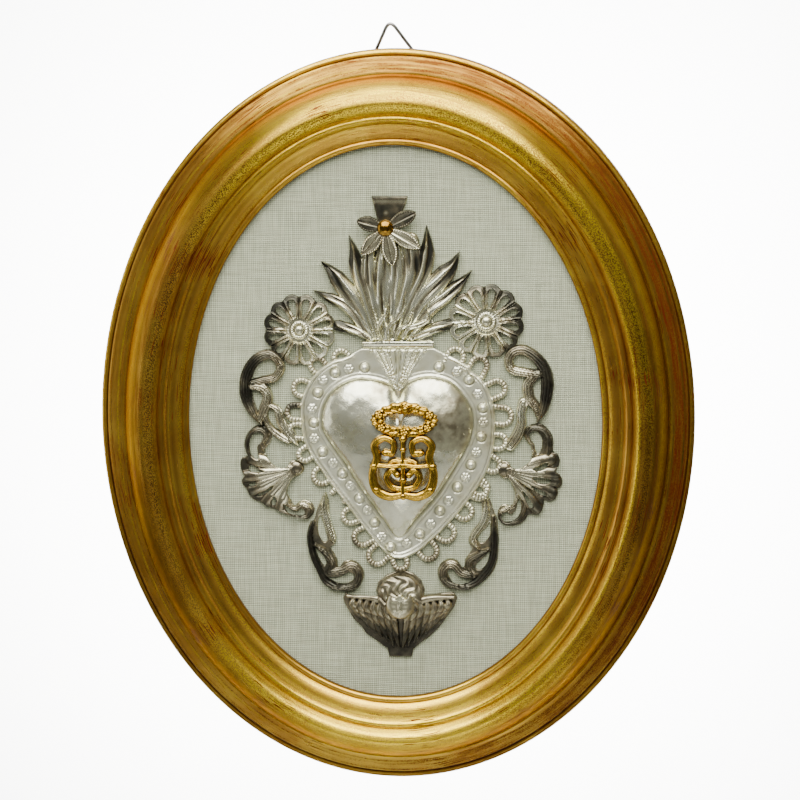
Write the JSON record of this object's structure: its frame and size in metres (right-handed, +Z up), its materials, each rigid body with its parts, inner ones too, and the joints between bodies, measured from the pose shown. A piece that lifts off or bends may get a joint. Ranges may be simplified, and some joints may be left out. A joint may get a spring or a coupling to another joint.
{
  "type": "framed votive heart",
  "caption": "Oval gilt wooden frame with a pierced silver votive heart pinned on a linen panel, hung by a wire ring on its back.",
  "frame": {"origin": "the point in the hanger ring's top corner where the wall nail bears", "axes": "+X to the right seen from the front, +Y into the wall, +Z up; the front faces -Y"},
  "size_m": [0.246, 0.0324, 0.3165],
  "materials": {
    "gilded_wood": "burnished gold leaf over a red-brown ground",
    "board": "bare hardboard",
    "linen": "plain-weave natural linen",
    "steel": "bright wire and sheet",
    "silver": "silvered sheet, tarnished brown to black at the edges",
    "brass": "polished",
    "gilt_brass": "gilt"
  },
  "bodies": {
    "frame": {"frame_moulding": "gilded_wood", "backing_board": "board", "linen_panel": "linen", "panel_point_1": "steel", "panel_point_2": "steel", "panel_point_3": "steel", "panel_point_4": "steel", "panel_point_5": "steel", "panel_point_6": "steel", "hanger_strap": "steel", "hanger_tack_1": "brass", "hanger_tack_2": "brass", "rosette_left": "silver", "rosette_right": "silver", "flame_plate": "silver", "flower": "silver", "brass_nail": "brass", "heart_plate": "silver", "upper_scroll_left": "silver", "upper_scroll_right": "silver", "shell_left": "silver", "shell_right": "silver", "lower_scroll_left": "silver", "lower_scroll_right": "silver", "winged_head": "silver", "gilt_wreath": "gilt_brass", "gilt_ornament": "gilt_brass", "wreath_rivet": "gilt_brass", "ornament_rivet": "gilt_brass"},
    "ring": {"hanger_ring": "steel"}
  },
  "joints": [
    {"name": "ring_swing", "type": "hinge", "parent": "frame", "child": "ring", "pos_m": [0.00154, 0.00265, -0.01465], "axis": [-0.9945, 0, -0.1045], "range_deg": [0, 178]}
  ]
}
